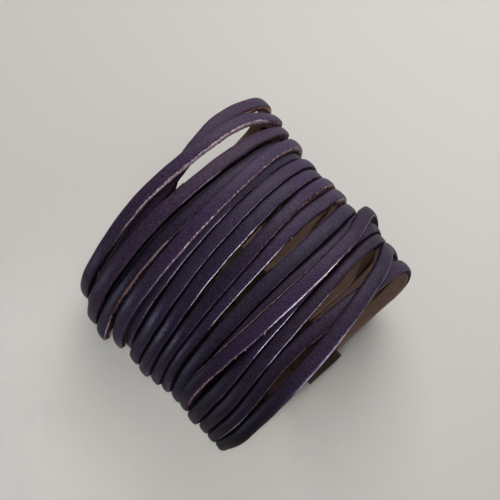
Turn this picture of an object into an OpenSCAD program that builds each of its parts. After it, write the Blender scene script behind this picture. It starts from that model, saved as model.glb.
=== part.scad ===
// Leather cuff bracelet: seventeen leather laces lie side by side round a hollow and cross each other here and there.
// Each lace is one plain loop whose two ends are held in the slots of a flat bar on the underside.
// +X runs from the back edge to the front edge, +Y to one side and +Z up. The cuff lies on its underside, flattened
// where it rests.

/* [Cuff] */
// Outside width of the cuff, side to side
cuff_w = 61.5; // [60:0.5:66]
// Height of the cuff's widest line above the ground
axis_z = 17; // [16.5:0.25:17.5]
// Rise of the crown above the widest line
crown_rise = 22; // [20:0.5:26]

/* [Laces] */
// Thickness of the leather
leather_t = 1.7; // [1.4:0.05:1.7]
// Corner cut taken off the lace's edges
edge_cut = 0.35; // [0.2:0.05:0.45]
// Width of each lace on the underside and in the bar
under_w = 3.0; // [2.6:0.05:3]

/* [Bar] */
// Distance from lace to lace in the bar
pitch = 3.2; // [3.2:0.05:3.3]
// Width of the bar, round the cuff
bar_w = 10.4; // [10.2:0.1:12]
// Height of the bar
bar_h = 4.3; // [4.3:0.1:5]

/* [Hidden] */

leather = [0.23, 0.19, 0.25];
steel = [0.35, 0.31, 0.28];
half_w = cuff_w / 2;
// Depth of the lower half before the ground flattens it, and the height over which the bend eases into the flat
under_drop = axis_z + 3;
ease = 1.2;
// The laces step up into the bar's slots by this much, and end this far from the bar's middle
slot_step = 1.3;
slot_clear = 0.2;
lace_count = 17;
bar_l = lace_count * pitch + 3.2;
slot_l = lace_count * pitch + 0.4;
slot_from = 1.1;

// Angles round the cuff at which the tables give each lace: 0 is the +Y side, 90 the crown, 180 the -Y side.
TABLE_ANGLES = [10, 45, 90, 135, 170];

// Where each lace's middle lies between the back and front edges, in mm.
//   lace  right  upper_right  crown  upper_left  left
PLACE = [
    [1,   -26.4,  -27.5,       -23.2, -19.2,      -18.6],
    [2,   -21.7,  -24.3,       -24.9, -22.5,      -21.8],
    [3,   -18.4,  -19.3,       -19.5, -17.9,      -16.5],
    [4,   -16.1,  -16.0,       -16.0, -14.4,      -12.3],
    [5,   -14.4,  -14.3,       -12.3, -10.0,       -8.1],
    [6,   -12.3,  -12.7,       -11.0,  -8.0,       -6.1],
    [7,    -8.9,   -9.4,        -7.6,  -4.2,       -2.9],
    [8,    -5.9,   -6.1,        -4.1,  -0.6,        0.8],
    [9,    -2.7,   -2.5,         0.1,   2.7,        4.1],
    [10,    1.1,    1.1,         3.1,   5.4,        7.0],
    [11,    5.3,    6.1,         7.1,   8.7,       10.3],
    [12,    8.6,    9.6,        10.6,  12.1,       13.4],
    [13,    8.8,   11.5,        12.5,  12.0,       13.2],
    [14,   12.0,   12.1,        14.0,  16.3,       16.3],
    [15,   14.8,   15.0,        17.3,  19.8,       19.7],
    [16,   23.0,   22.1,        21.0,  23.2,       22.4],
    [17,   18.0,   21.2,        25.6,  26.6,       25.2]
];

// How far each lace stands out from the cuff's plain outline, in mm. A lace that crosses over another is about 1.9 up,
// and one that lies under its neighbours is below zero.
//   lace  right  upper_right  crown  upper_left  left
LIFT = [
    [1,    1.6,    0.3,         0.0,   0.0,       -0.4],
    [2,    1.2,    2.1,         1.9,   1.0,       -1.0],
    [3,    0.5,    0.5,         1.8,   2.0,        1.6],
    [4,   -1.4,   -1.2,         0.0,   0.3,        2.4],
    [5,    0.5,    0.8,         1.9,   1.9,        0.9],
    [6,   -1.4,   -1.2,         0.0,   0.0,       -0.9],
    [7,   -0.4,    0.0,         0.0,   0.0,        0.5],
    [8,   -0.8,    0.0,         0.0,   0.2,        0.8],
    [9,   -0.1,    0.0,         0.3,   0.3,        0.1],
    [10,   0.0,    0.0,         0.0,   0.0,       -0.5],
    [11,  -0.5,    0.0,         0.0,   0.0,       -0.8],
    [12,   0.0,    0.0,         0.0,  -0.5,       -2.6],
    [13,   2.4,    1.9,         1.9,   1.9,       -0.8],
    [14,   0.6,    0.0,         0.0,   0.0,       -0.3],
    [15,  -0.2,    0.0,         0.0,   0.0,       -0.8],
    [16,  -0.4,   -0.4,         0.0,   0.0,       -0.8],
    [17,   0.0,    2.0,         1.6,   0.1,       -0.9]
];

// Width of each lace, in mm: they are cut by eye, and narrower where they crowd at the sides.
//   lace  right  upper_right  crown  upper_left  left
WIDTH = [
    [1,    3.3,    3.4,         3.3,   3.1,        2.9],
    [2,    3.2,    3.2,         3.3,   3.2,        3.0],
    [3,    2.8,    3.3,         3.4,   3.4,        3.3],
    [4,    2.8,    3.1,         3.4,   3.4,        3.4],
    [5,    3.1,    3.3,         3.4,   3.4,        3.4],
    [6,    2.9,    3.0,         3.2,   3.2,        2.8],
    [7,    2.8,    3.1,         3.4,   3.4,        3.2],
    [8,    2.8,    3.1,         3.4,   3.1,        3.2],
    [9,    3.1,    3.1,         3.1,   2.8,        3.0],
    [10,   3.3,    3.2,         2.7,   2.5,        2.6],
    [11,   3.3,    3.4,         3.3,   3.0,        2.7],
    [12,   2.8,    2.3,         3.1,   3.2,        3.0],
    [13,   3.2,    3.4,         3.7,   3.2,        2.7],
    [14,   2.6,    2.3,         3.1,   3.3,        3.1],
    [15,   2.8,    2.6,         3.1,   3.1,        2.7],
    [16,   3.3,    3.4,         3.2,   2.9,        2.6],
    [17,   3.3,    3.5,         3.5,   3.4,        2.9]
];

// The order of the laces in the bar's two slots, from the back. They differ where two laces have crossed.
RIGHT_ORDER = [1, 2, 3, 4, 5, 6, 7, 8, 9, 10, 11, 12, 13, 14, 15, 17, 16];
LEFT_ORDER = [2, 1, 3, 4, 5, 6, 7, 8, 9, 10, 11, 13, 12, 14, 15, 16, 17];

// Angles from the underside's middle at which a lace has a ring of its surface, and the same angles on the route:
// end, slot mouth, ground, start of the side.
UNDER_STEPS = [5, 9, 14, 19, 25, 31, 38, 45, 53, 62, 71, 80];
UNDER_ANGLES = [2.5, 10, 22, 38, 58];
function backwards(list) = [for (i = [len(list) - 1:-1:0]) list[i]];
ROUTE_ANGLES = concat([for (a = UNDER_ANGLES) a - 90], TABLE_ANGLES, [for (a = backwards(UNDER_ANGLES)) 270 - a]);
RING_ANGLES = concat([for (a = UNDER_STEPS) a - 90], [for (a = [0:10:180]) a], [for (a = backwards(UNDER_STEPS)) 270 - a]);

// One smooth value between the stations of a route: a cubic that keeps level where the values turn back.
function slope(j, at, v) = j == 0 || j == len(at) - 1 || (v[j + 1] - v[j]) * (v[j] - v[j - 1]) <= 0 ? 0
    : (v[j + 1] - v[j - 1]) / (at[j + 1] - at[j - 1]);
function stretch(t, at, i = 0) = i >= len(at) - 2 || t < at[i + 1] ? i : stretch(t, at, i + 1);
function smooth(t, at, v) = let(i = stretch(t, at), h = at[i + 1] - at[i], u = (t - at[i]) / h)
    (1 + 2 * u) * (1 - u) * (1 - u) * v[i] + u * (1 - u) * (1 - u) * h * slope(i, at, v)
    + u * u * (3 - 2 * u) * v[i + 1] + u * u * (u - 1) * h * slope(i + 1, at, v);

// The cuff's outline, seen along X: a round arch above, flattened on the ground below.
function flat_z(raw) = raw > ease ? raw : raw < -ease ? 0 : (raw + ease) * (raw + ease) / (4 * ease);
function outline(a) = [half_w * cos(a), sin(a) >= 0 ? axis_z + crown_rise * sin(a) : flat_z(axis_z + under_drop * sin(a))];
function outward(a) = let(d = outline(a + 0.5) - outline(a - 0.5), n = [d[1], -d[0]]) n / norm(n);

// A lace's five table values, and its whole route from one slot over the crown to the other slot.
function row(table, k) = [for (c = [1:5]) table[k - 1][c]];
function slot_x(order, k) = (search(k, order)[0] - (lace_count - 1) / 2) * pitch;
function place_route(k) = let(r = slot_x(RIGHT_ORDER, k), l = slot_x(LEFT_ORDER, k))
    concat([r, r, r, r, r], row(PLACE, k), [l, l, l, l, l]);
function lift_route(k) = let(v = row(LIFT, k))
    concat([-slot_step, -slot_step, 0, 0, v[0]], v, [v[4], 0, 0, -slot_step, -slot_step]);
function width_route(k) = let(v = row(WIDTH, k), w = under_w)
    concat([w, w, w, w, min(w, v[0])], v, [min(w, v[4]), w, w, w, w]);

// The lace's section, eight points round from the outer corner at the back: [towards the front, outward].
function section(w) = let(h = w / 2, c = edge_cut, t = leather_t)
    [[c - h, 0], [h - c, 0], [h, -c], [h, c - t], [h - c, -t], [c - h, -t], [-h, c - t], [-h, -c]];
function ring(k, a) = let(
        p = outline(a), n = outward(a),
        x = smooth(a, ROUTE_ANGLES, place_route(k)),
        lift = smooth(a, ROUTE_ANGLES, lift_route(k)),
        w = smooth(a, ROUTE_ANGLES, width_route(k)))
    [for (q = section(w)) [x + q[0], p[0] + n[0] * (lift + q[1]), p[1] + n[1] * (lift + q[1])]];

// One lace: its rings joined into a closed surface with two flat ends.
module lace(k) {
    rings = len(RING_ANGLES);
    points = [for (a = RING_ANGLES) each ring(k, a)];
    sides = [for (i = [0:rings - 2], j = [0:7]) let(a = 8 * i + j, b = 8 * i + (j + 1) % 8) each [[a, b + 8, b], [a, a + 8, b + 8]]];
    first = [[for (j = [0:7]) j]];
    last = [[for (j = [7:-1:0]) 8 * (rings - 1) + j]];
    color(leather) polyhedron(points = points, faces = concat(sides, first, last), convexity = 6);
}

// A long slot in one side of the bar that takes a row of lace ends.
module slot() {
    translate([-slot_l / 2, slot_from, slot_step - slot_clear])
        cube([slot_l, bar_w, leather_t + 2 * slot_clear]);
}

module lace_01() { lace(1); }
module lace_02() { lace(2); }
module lace_03() { lace(3); }
module lace_04() { lace(4); }
module lace_05() { lace(5); }
module lace_06() { lace(6); }
module lace_07() { lace(7); }
module lace_08() { lace(8); }
module lace_09() { lace(9); }
module lace_10() { lace(10); }
module lace_11() { lace(11); }
module lace_12() { lace(12); }
module lace_13() { lace(13); }
module lace_14() { lace(14); }
module lace_15() { lace(15); }
module lace_16() { lace(16); }
module lace_17() { lace(17); }

// The flat bar on the underside that closes the cuff.
module clasp_bar() {
    color(steel) difference() {
        translate([-bar_l / 2, -bar_w / 2, 0]) cube([bar_l, bar_w, bar_h]);
        slot();
        mirror([0, 1, 0]) slot();
    }
}

lace_01();
lace_02();
lace_03();
lace_04();
lace_05();
lace_06();
lace_07();
lace_08();
lace_09();
lace_10();
lace_11();
lace_12();
lace_13();
lace_14();
lace_15();
lace_16();
lace_17();
clasp_bar();
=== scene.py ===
# %% [markdown]
# # A leather cuff bracelet
# The cuff is seventeen flat leather laces laid side by side round a hollow. Some of them cross their neighbours, so
# a few lie on top and a few are pressed in below. A flat bar on the underside holds all the ends.
#
# The solids come from the construction model, which is loaded first. Everything made here is fitted to them. The
# cuff lies on its underside, with its back edge at the -X end and its front edge at the +X end.

import math
from functools import partial
from types import SimpleNamespace

import bpy
import numpy as np
from mathutils import Matrix, Vector


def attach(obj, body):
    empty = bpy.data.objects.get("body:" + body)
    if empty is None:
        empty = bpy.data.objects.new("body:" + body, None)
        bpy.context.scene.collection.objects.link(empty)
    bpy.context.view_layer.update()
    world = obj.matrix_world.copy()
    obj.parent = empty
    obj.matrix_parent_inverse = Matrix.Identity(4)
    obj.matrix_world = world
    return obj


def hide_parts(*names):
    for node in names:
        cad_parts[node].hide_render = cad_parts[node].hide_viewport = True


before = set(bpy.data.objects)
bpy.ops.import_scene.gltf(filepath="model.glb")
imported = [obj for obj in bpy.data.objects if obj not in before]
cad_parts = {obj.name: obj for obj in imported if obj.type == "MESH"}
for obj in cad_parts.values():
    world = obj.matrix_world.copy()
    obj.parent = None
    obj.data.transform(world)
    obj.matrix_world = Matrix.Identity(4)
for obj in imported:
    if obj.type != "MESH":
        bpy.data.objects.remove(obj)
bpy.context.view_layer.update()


# %% [markdown]
# ## The route of one lace
# Leather laces keep their width and thickness as they bend, so one lace is a narrow section carried along a route.
# A curve object with a bevel would do that too, but its section cannot lean or change width by itself. Here the
# route is worked out in code and each ring of points is placed, which gives full control of both.
#
# The route is a few stations round the cuff. For every lace a row gives its place between the back and the front
# edge, how far it stands out from the cuff's plain outline, and its width. They are the sizes of the construction
# model.

# %% Sizes of the cuff in mm
CUFF_WIDTH = 61.5
AXIS_HEIGHT = 17.0
CROWN_RISE = 22.0
# The lower half would reach this far below the axis. The ground flattens it, and the bend eases into the flat.
UNDER_DROP = AXIS_HEIGHT + 3.0
EASE = 1.2
LEATHER = 1.7
UNDER_WIDTH = 3.0
# In the bar the laces lie this far apart, and their ends step up into its slots.
PITCH = 3.2
SLOT_STEP = 1.3
LACES = range(1, 18)
print("hollow in mm:", CUFF_WIDTH - 2 * LEATHER, "wide and", round(AXIS_HEIGHT + CROWN_RISE - 2 * LEATHER, 1), "high")

# %% Where each lace lies
# Angles round the cuff: 0 is the +Y side, 90 the crown, 180 the -Y side. Every table has a value for each of them.
TABLE_ANGLES = (10, 45, 90, 135, 170)

# Distance in mm from the middle of the cuff toward the front.
# lace: right, upper right, crown, upper left, left
PLACE = {
    1: (-26.4, -27.5, -23.2, -19.2, -18.6),
    2: (-21.7, -24.3, -24.9, -22.5, -21.8),
    3: (-18.4, -19.3, -19.5, -17.9, -16.3),
    4: (-16.1, -16.0, -16.0, -14.5, -12.05),
    5: (-14.4, -14.3, -12.3, -10.0, -8.1),
    6: (-12.3, -12.7, -11.0, -8.0, -6.1),
    7: (-8.9, -9.4, -7.6, -4.2, -2.9),
    8: (-5.9, -6.1, -4.1, -0.6, 0.8),
    9: (-2.7, -2.5, 0.1, 2.7, 4.1),
    10: (1.1, 1.1, 3.1, 5.4, 7.0),
    11: (5.3, 6.1, 7.1, 8.7, 10.3),
    12: (8.6, 9.6, 10.6, 12.1, 13.4),
    13: (8.8, 11.5, 12.5, 12.0, 13.2),
    14: (12.0, 12.1, 14.0, 16.3, 16.3),
    15: (14.8, 15.0, 17.3, 19.8, 19.7),
    16: (23.0, 22.1, 21.0, 23.2, 22.4),
    17: (18.0, 21.2, 25.6, 26.6, 25.2),
}
print("most that a lace wanders in mm:", round(max(max(row) - min(row) for row in PLACE.values()), 1))

# %% How far each lace stands out
# In mm from the cuff's plain outline. A lace that crosses over another is about 1.9 mm up.
LIFT = {
    1: (1.6, 0.3, 0.0, 0.0, -0.4),
    2: (1.2, 2.1, 1.9, 1.0, -1.0),
    3: (0.5, 0.5, 1.8, 2.0, 1.6),
    4: (-1.4, -1.2, 0.0, 0.3, 2.4),
    5: (0.5, 0.8, 1.9, 1.9, 0.9),
    6: (-1.4, -1.2, 0.0, 0.0, -0.9),
    7: (-0.4, 0.0, 0.0, 0.0, 0.5),
    8: (-0.8, 0.0, 0.0, 0.2, 0.8),
    9: (-0.1, 0.0, 0.3, 0.3, 0.1),
    10: (0.0, 0.0, 0.0, 0.0, -0.5),
    11: (-0.5, 0.0, 0.0, 0.0, -0.8),
    12: (0.0, 0.0, 0.0, -0.5, -2.6),
    13: (2.4, 1.9, 1.9, 1.9, -0.8),
    14: (0.6, 0.0, 0.0, 0.0, -0.3),
    15: (-0.2, 0.0, 0.0, 0.0, -0.8),
    16: (-0.4, -0.4, 0.0, 0.0, -0.8),
    17: (0.0, 2.0, 1.6, 0.1, -0.9),
}
print("laces that cross over another:", [lace for lace in LACES if max(LIFT[lace]) > 1.8])

# %% How wide each lace is
# In mm. They are narrower where they crowd at the sides.
WIDTH = {
    1: (3.3, 3.4, 3.3, 3.1, 2.9),
    2: (3.2, 3.2, 3.3, 3.2, 3.0),
    3: (2.8, 3.3, 3.4, 3.4, 3.3),
    4: (2.8, 3.1, 3.4, 3.4, 3.5),
    5: (3.1, 3.3, 3.4, 3.4, 3.4),
    6: (2.9, 3.0, 3.2, 3.2, 2.8),
    7: (2.8, 3.1, 3.4, 3.4, 3.2),
    8: (2.8, 3.1, 3.4, 3.1, 3.2),
    9: (3.1, 3.1, 3.1, 2.8, 3.0),
    10: (3.3, 3.2, 2.7, 2.5, 2.6),
    11: (3.3, 3.4, 3.3, 3.0, 2.7),
    12: (2.8, 2.3, 3.1, 3.2, 3.0),
    13: (3.2, 3.4, 3.7, 3.2, 2.7),
    14: (2.6, 2.3, 3.1, 3.3, 3.1),
    15: (2.8, 2.6, 3.1, 3.1, 2.7),
    16: (3.3, 3.4, 3.2, 2.9, 2.6),
    17: (3.3, 3.5, 3.5, 3.4, 2.9),
}
print("mean width on the crown in mm:", round(sum(row[2] for row in WIDTH.values()) / len(WIDTH), 2))

# %% How each lace leans
# In degrees. Its front edge is up where this is positive.
LEAN = {
    1: (4, 4, 0, 6, 4),
    2: (8, 6, 2, 8, 4),
    3: (6, 8, 4, 2, 4),
    4: (2, 2, 8, 11, 9),
    5: (4, 4, 2, 2, 6),
    6: (2, 2, 10, 8, 4),
    7: (6, 10, 12, 12, 8),
    8: (6, 10, 12, 8, 6),
    9: (12, 12, 10, 10, 6),
    10: (8, 8, 12, 10, 6),
    11: (6, 8, 10, 10, 6),
    12: (2, 2, 4, 4, 2),
    13: (6, 4, 2, 2, 4),
    14: (2, 2, 8, 10, 6),
    15: (4, 8, 12, 10, 6),
    16: (4, 4, 8, 8, 4),
    17: (2, 2, 4, 8, 6),
}
print("steepest lean in degrees:", max(max(row) for row in LEAN.values()))

# %% Order of the laces in the bar
# From the back, in its right and its left slot. They differ where two laces have crossed.
RIGHT_ORDER = (1, 2, 3, 4, 5, 6, 7, 8, 9, 10, 11, 12, 13, 14, 15, 17, 16)
LEFT_ORDER = (2, 1, 3, 4, 5, 6, 7, 8, 9, 10, 11, 13, 12, 14, 15, 16, 17)
print("laces that change places:", sorted({a for a, b in zip(RIGHT_ORDER, LEFT_ORDER) if a != b}))

# %% [markdown]
# ## How the edges of each lace look
# The laces were not all cut alike. On a few, the blade leaned outward and left a broad pale raw edge. On the others
# it leaned inward, so the cut face is tucked under, dark with dye and painted shade, and only the rolled
# corner above it shows. That corner is burnished by rubbing and gets a painted highlight where the light
# catches it, most of all where the lace stands proud. Both vary along a lace, so they get tables too, at the same
# five places.

# %% How raw the front edge is
# How open, pale and fibrous the cut face is, from 0 to 1.
RAW = {
    1: (0.8, 0.6, 0.3, 0.3, 0.4),
    2: (0.5, 0.8, 1.0, 0.35, 0.2),
    3: (0.5, 0.45, 0.35, 0.0, 0.0),
    4: (0.0, 0.0, 0.1, 0.46, 0.3),
    5: (0.7, 0.6, 0.6, 0.22, 0.1),
    6: (0.3, 0.1, 0.1, 0.1, 0.1),
    7: (0.3, 0.1, 0.0, 0.0, 0.0),
    8: (0.2, 0.1, 0.0, 0.0, 0.1),
    9: (0.5, 0.5, 0.2, 0.1, 0.1),
    10: (0.7, 0.3, 0.1, 0.0, 0.1),
    11: (0.1, 0.0, 0.0, 0.0, 0.0),
    12: (0.1, 0.1, 0.1, 0.1, 0.0),
    13: (0.1, 0.4, 0.2, 0.85, 0.0),
    14: (0.1, 0.1, 0.0, 0.1, 0.1),
    15: (0.1, 0.1, 0.0, 0.1, 0.1),
    16: (0.1, 0.2, 0.25, 0.25, 0.1),
    17: (0.1, 0.1, 0.1, 0.1, 0.1),
}
# Two laces also have a raw line on the back edge. On the others it is plain.
PLAIN = (0.0, 0.0, 0.0, 0.0, 0.0)
BACK_RAW = {1: (0.5, 0.3, 0.0, 0.0, 0.0), 13: (0.0, 0.6, 0.9, 0.7, 0.0)}
print("laces with a broad raw edge:", [lace for lace in LACES if max(RAW[lace]) >= 0.7])

# %% How bright the rolled corner is: burnish and painted highlight
# Partly the finish burnished by rubbing, partly a painted highlight where the light catches the corner.
# Over 1 it is almost white.
RIM_WEAR_AND_HIGHLIGHT = {
    1: (0.2, 0.1, 0.1, 0.1, 0.1),
    2: (0.3, 0.4, 0.4, 0.1, 0.1),
    3: (0.3, 0.1, 0.1, 0.0, 0.0),
    4: (0.0, 0.0, 0.9, 1.8, 0.5),
    5: (0.9, 1.1, 1.8, 0.2, 0.1),
    6: (0.2, 0.5, 1.3, 0.45, 0.2),
    7: (0.2, 0.4, 0.7, 0.0, 0.0),
    8: (0.3, 0.4, 0.5, 0.2, 0.1),
    9: (0.9, 0.6, 0.4, 0.15, 0.1),
    10: (0.3, 0.3, 0.4, 0.25, 0.1),
    11: (0.2, 0.4, 0.8, 0.25, 0.1),
    12: (0.1, 0.1, 0.2, 0.1, 0.0),
    13: (0.3, 0.9, 1.0, 0.5, 0.0),
    14: (0.1, 0.1, 0.2, 0.25, 0.1),
    15: (0.1, 0.2, 0.3, 0.15, 0.1),
    16: (0.2, 0.3, 0.9, 0.9, 0.1),
    17: (0.2, 0.4, 0.3, 0.0, 0.0),
}
# A painted highlight along the stretch of a lace that stands proudest, over what its table gives.
# lace: from and to which angle round the cuff, how much more
GLINT = {
    2: (28, 108, 1.6),
    3: (66, 87, 1.1),
    4: (102, 132, 4.5),
    8: (71, 112, 1.1),
    10: (68, 111, 1.8),
    13: (54, 95, 1.5),
    14: (81, 105, 1.5),
    15: (66, 103, 1.4),
    17: (68, 104, 0.6),
}
print("laces with a glint:", list(GLINT))

# %% How the dye took on each lace, and where shade and light are painted on it
# How much darker a lace is painted: partly the dye's tone, partly painted shade where it should get
# less light. A value under 0 paints light and makes the lace paler.
TONE_AND_PAINTED_SHADE = {
    3: (0.0, 0.1, -0.2, -0.4, -0.3),
    4: (0.0, 0.1, -0.4, -0.8, -0.6),
    5: (0.0, 0.0, 0.0, 0.0, 0.2),
    7: (0.0, 0.12, 0.1, 0.08, 0.0),
    8: (0.0, 0.2, 0.35, 0.25, 0.0),
    9: (0.0, 0.2, 0.5, 0.25, 0.0),
    10: (0.0, 0.2, 0.15, 0.0, 0.0),
    11: (0.25, 0.3, 0.2, 0.0, 0.0),
    12: (0.3, 0.25, 0.2, 0.15, 0.3),
    13: (0.55, 0.3, 0.1, 0.5, 0.25),
    14: (0.3, 0.25, 0.2, 0.4, 0.5),
    15: (0.45, 0.35, 0.3, 0.45, 0.55),
    16: (0.35, 0.45, 0.3, 0.6, 0.6),
    17: (0.35, 0.5, 0.2, 0.85, 0.8),
}
# From 0, a greyer blue, to 1, a strong purple.
DYE = {1: 0.55, 2: 0.5, 3: 0.65, 4: 0.2, 5: 0.7, 6: 0.15, 7: 0.6, 8: 0.65, 9: 0.7}
DYE |= {10: 0.6, 11: 0.2, 12: 0.2, 13: 0.9, 14: 0.4, 15: 0.3, 16: 0.5, 17: 0.5}
# How much redder it came out.
REDDER = {1: 0.3, 2: 0.3, 3: 0.65, 4: 0.25, 12: 0.2, 14: 0.2, 15: 0.5, 16: 0.4, 17: 0.3}
print("darkest laces:", [lace for lace in TONE_AND_PAINTED_SHADE if max(TONE_AND_PAINTED_SHADE[lace]) > 0.5])

# %% What else sets a lace apart
# The core of the hide runs from pink, 0, to a warm brick colour, 1.
USUAL_WARM = 0.1
WARM = {1: 0.8, 2: 0.15, 3: 0.4, 4: 1.0, 5: 0.25, 9: 0.9, 13: 0.5, 16: 0.6}
# The roll of the front edge in mm.
USUAL_ROLL = 0.4
ROLL = {4: 0.5, 5: 0.6, 13: 0.8, 16: 0.5, 17: 1.1}
# The sheen on the laces that rub on a table, low on the left, from 0 to 1, and the angles where it lies.
POLISHED = {3: 0.2, 4: 0.5, 5: 0.5, 6: 0.4, 7: 1.0, 8: 1.0, 9: 0.8, 10: 0.6, 11: 0.2}
POLISHED_AT, POLISHED_OVER = 128, 9
print("laces with a wide roll:", list(ROLL))

# %% [markdown]
# ## From stations to a smooth line
# Between two stations a cubic carries each value over. It stays level where the values turn back, so a lace never
# swings past the place that the table gives it, and two neighbours that are clear of each other stay clear.

# %% Stations of a whole route
# Angles from the middle of the underside: the end of the lace, the slot's mouth, the ground, and the start of the
# side.
UNDER_ANGLES = (2.5, 10, 22, 38, 58)
RIGHT_UNDER = [a - 90 for a in UNDER_ANGLES]
LEFT_UNDER = [270 - a for a in reversed(UNDER_ANGLES)]
ROUTE_ANGLES = np.array(RIGHT_UNDER + list(TABLE_ANGLES) + LEFT_UNDER)
# Out of sight the corners get little rim colour, and the leather gets painted shade, on the left more
# than on the right.
HIDDEN_RIM = 0.1
HIDDEN_PAINTED_SHADE = (0.3, 0.8)


def slot_place(order, lace):
    """Where this lace enters the bar, in mm from its middle."""
    return (order.index(lace) - (len(LACES) - 1) / 2) * PITCH


def held(before, row, after):
    """A table's row between two values that are held down to the bar."""
    return [before] * len(UNDER_ANGLES) + list(row) + [after] * len(UNDER_ANGLES)


def whole_route(lace):
    """Each value at every station, from one slot over the crown to the other slot."""
    lift, width, lean, raw = LIFT[lace], WIDTH[lace], LEAN[lace], RAW[lace]
    into_slot, in_bar = [-SLOT_STEP, -SLOT_STEP, 0, 0], [UNDER_WIDTH] * 4
    narrowing = [min(UNDER_WIDTH, width[0]), *width, min(UNDER_WIDTH, width[-1])]
    return {
        "place": held(slot_place(RIGHT_ORDER, lace), PLACE[lace], slot_place(LEFT_ORDER, lace)),
        "lift": into_slot + [lift[0], *lift, lift[-1]] + into_slot[::-1],
        "width": in_bar + narrowing + in_bar,
        "lean": [0] * 4 + [lean[0], *lean, lean[-1]] + [0] * 4,
        "raw": held(raw[0], raw, raw[-1]),
        "rim": held(HIDDEN_RIM, RIM_WEAR_AND_HIGHLIGHT[lace], HIDDEN_RIM),
        "back_raw": held(0, BACK_RAW.get(lace, PLAIN), 0),
        "darker": held(HIDDEN_PAINTED_SHADE[0], TONE_AND_PAINTED_SHADE.get(lace, PLAIN), HIDDEN_PAINTED_SHADE[1]),
    }


print("stations on a route:", len(ROUTE_ANGLES))


# %% A smooth line through the stations
def smooth(angles, values):
    """The values at these angles, on one smooth line through the stations."""
    at, v = ROUTE_ANGLES, np.array(values, float)
    slope = np.zeros(len(v))
    for j in range(1, len(v) - 1):
        if (v[j + 1] - v[j]) * (v[j] - v[j - 1]) > 0:
            slope[j] = (v[j + 1] - v[j - 1]) / (at[j + 1] - at[j - 1])
    i = np.clip(np.searchsorted(at, angles, side="right") - 1, 0, len(at) - 2)
    h = at[i + 1] - at[i]
    u = (angles - at[i]) / h
    return (
        (1 + 2 * u) * (1 - u) ** 2 * v[i]
        + u * (1 - u) ** 2 * h * slope[i]
        + u * u * (3 - 2 * u) * v[i + 1]
        + u * u * (u - 1) * h * slope[i + 1]
    )


print("place of lace 1 over the crown in mm:", smooth(np.array([60, 90, 120]), whole_route(1)["place"]).round(1))


# %% The cuff's outline, seen along X
def outline(angles):
    """Points of the plain outline: a round arch above, flattened on the ground below."""
    a = np.radians(angles)
    raw = AXIS_HEIGHT + UNDER_DROP * np.sin(a)
    low = np.where(raw > EASE, raw, np.where(raw < -EASE, 0.0, (raw + EASE) ** 2 / (4 * EASE)))
    high = AXIS_HEIGHT + CROWN_RISE * np.sin(a)
    return np.stack([CUFF_WIDTH / 2 * np.cos(a), np.where(np.sin(a) >= 0, high, low)], axis=1)


def outward(angles):
    """The direction that points straight out of the cuff at each angle."""
    d = outline(angles + 1.0) - outline(angles - 1.0)
    n = np.stack([d[:, 1], -d[:, 0]], axis=1)
    return n / np.linalg.norm(n, axis=1, keepdims=True)


def even_angles(step):
    """Angles that lie an even distance apart along the leather, and how far along each one lies, in mm."""
    fine = np.linspace(ROUTE_ANGLES[0], ROUTE_ANGLES[-1], 4000)
    walked = np.concatenate([[0], np.cumsum(np.linalg.norm(np.diff(outline(fine), axis=0), axis=1))])
    along = np.linspace(0, walked[-1], int(round(walked[-1] / step)) + 1)
    return np.interp(along, walked, fine), along


RING_STEP = 0.5
RING_ANGLES, ALONG = even_angles(RING_STEP)
print("rings on a lace:", len(RING_ANGLES), "length in mm:", round(float(ALONG[-1]), 1))

# %% [markdown]
# ## The section of a lace
# A lace is cut from a finished hide. Its top is the grain side, slightly domed because the leather was pulled
# tight over the others, and it rolls over at both edges. Below the rolled corner comes the cut face, which is raw
# fibre, and the underside is the loose flesh side. The points go once round: up the back edge, over the top, down
# the front edge and back underneath.
#
# Each point of a section is five values: how far across and how far out it lies, in mm, which side of the leather
# it is on, which also sets the painted shade on the shoulders, how near it is to the rim, where its wear and painted
# highlight lie, from 0 to 1, and how deep it is in the cut face, from 0 to 1.

# %% The domed top and the back edge
SIDE_STEPS, SHOULDER_STEPS, TOP_STEPS, CUT_STEPS, UNDER_STEPS = 4, 7, 12, 7, 7
# The numbers that stand for the three sides of the leather.
GRAIN, CUT, FLESH = 0.0, 1.0, 2.0
# In mm: how far the top's edges lie below its middle, and how wide and how deep the back edge's shoulder is.
DOME, DOME_POWER = 0.36, 2.2
BACK_ROLL, BACK_DROP = 0.85, 1.15
# A shoulder starts where the dome has the slope that it has this far along the roll.
SLOPE_AT = 0.75


def dome(across, half):
    """How far out the grain side lies, at this distance from the middle of a lace of this half width."""
    return -DOME * abs(across / half) ** DOME_POWER


def dome_tilt(across, half):
    """The slope of the grain side there, as an angle."""
    return math.atan(DOME * DOME_POWER * abs(across / half) ** (DOME_POWER - 1) / half)


def back_edge(half, back_reach):
    """Points of a plain dark side and a wide round shoulder, and where the shoulder ends."""
    first = math.atan(math.tan(dome_tilt(half - SLOPE_AT * BACK_ROLL, half)) * BACK_ROLL / BACK_DROP)
    start = -half + BACK_ROLL * (1 - math.sin(first))
    centre = dome(start, half) - BACK_DROP * math.cos(first)
    foot = -LEATHER + 0.1
    points = []
    for i in range(SIDE_STEPS):
        f = i / SIDE_STEPS
        points.append((-half - back_reach * (1 - f) ** 2, foot + (centre - foot) * f, CUT, 0.0, 1 - f))
    for i in range(SHOULDER_STEPS + 1):
        f = i / SHOULDER_STEPS
        turn = math.pi / 2 + (first - math.pi / 2) * f
        across, out = -half + BACK_ROLL * (1 - math.sin(turn)), centre + BACK_DROP * math.cos(turn)
        # The side value is highest low on the shoulder, and the shader paints shade from it there.
        points.append((across, out, 0.75 * (1 - f) ** 2, 0.0, 0.0))
    return points, start


print("points on a back edge:", len(back_edge(1.65, 0.2)[0]))

# %% The front edge, the cut face and the flesh side
# The front shoulder turns this far before the cut face starts. A fully raw face is set this far in, in mm, and its
# middle is this hollow.
LAST_TILT = math.radians(74)
RAW_SET_IN = 0.42
CUT_HOLLOW = 0.05


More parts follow.
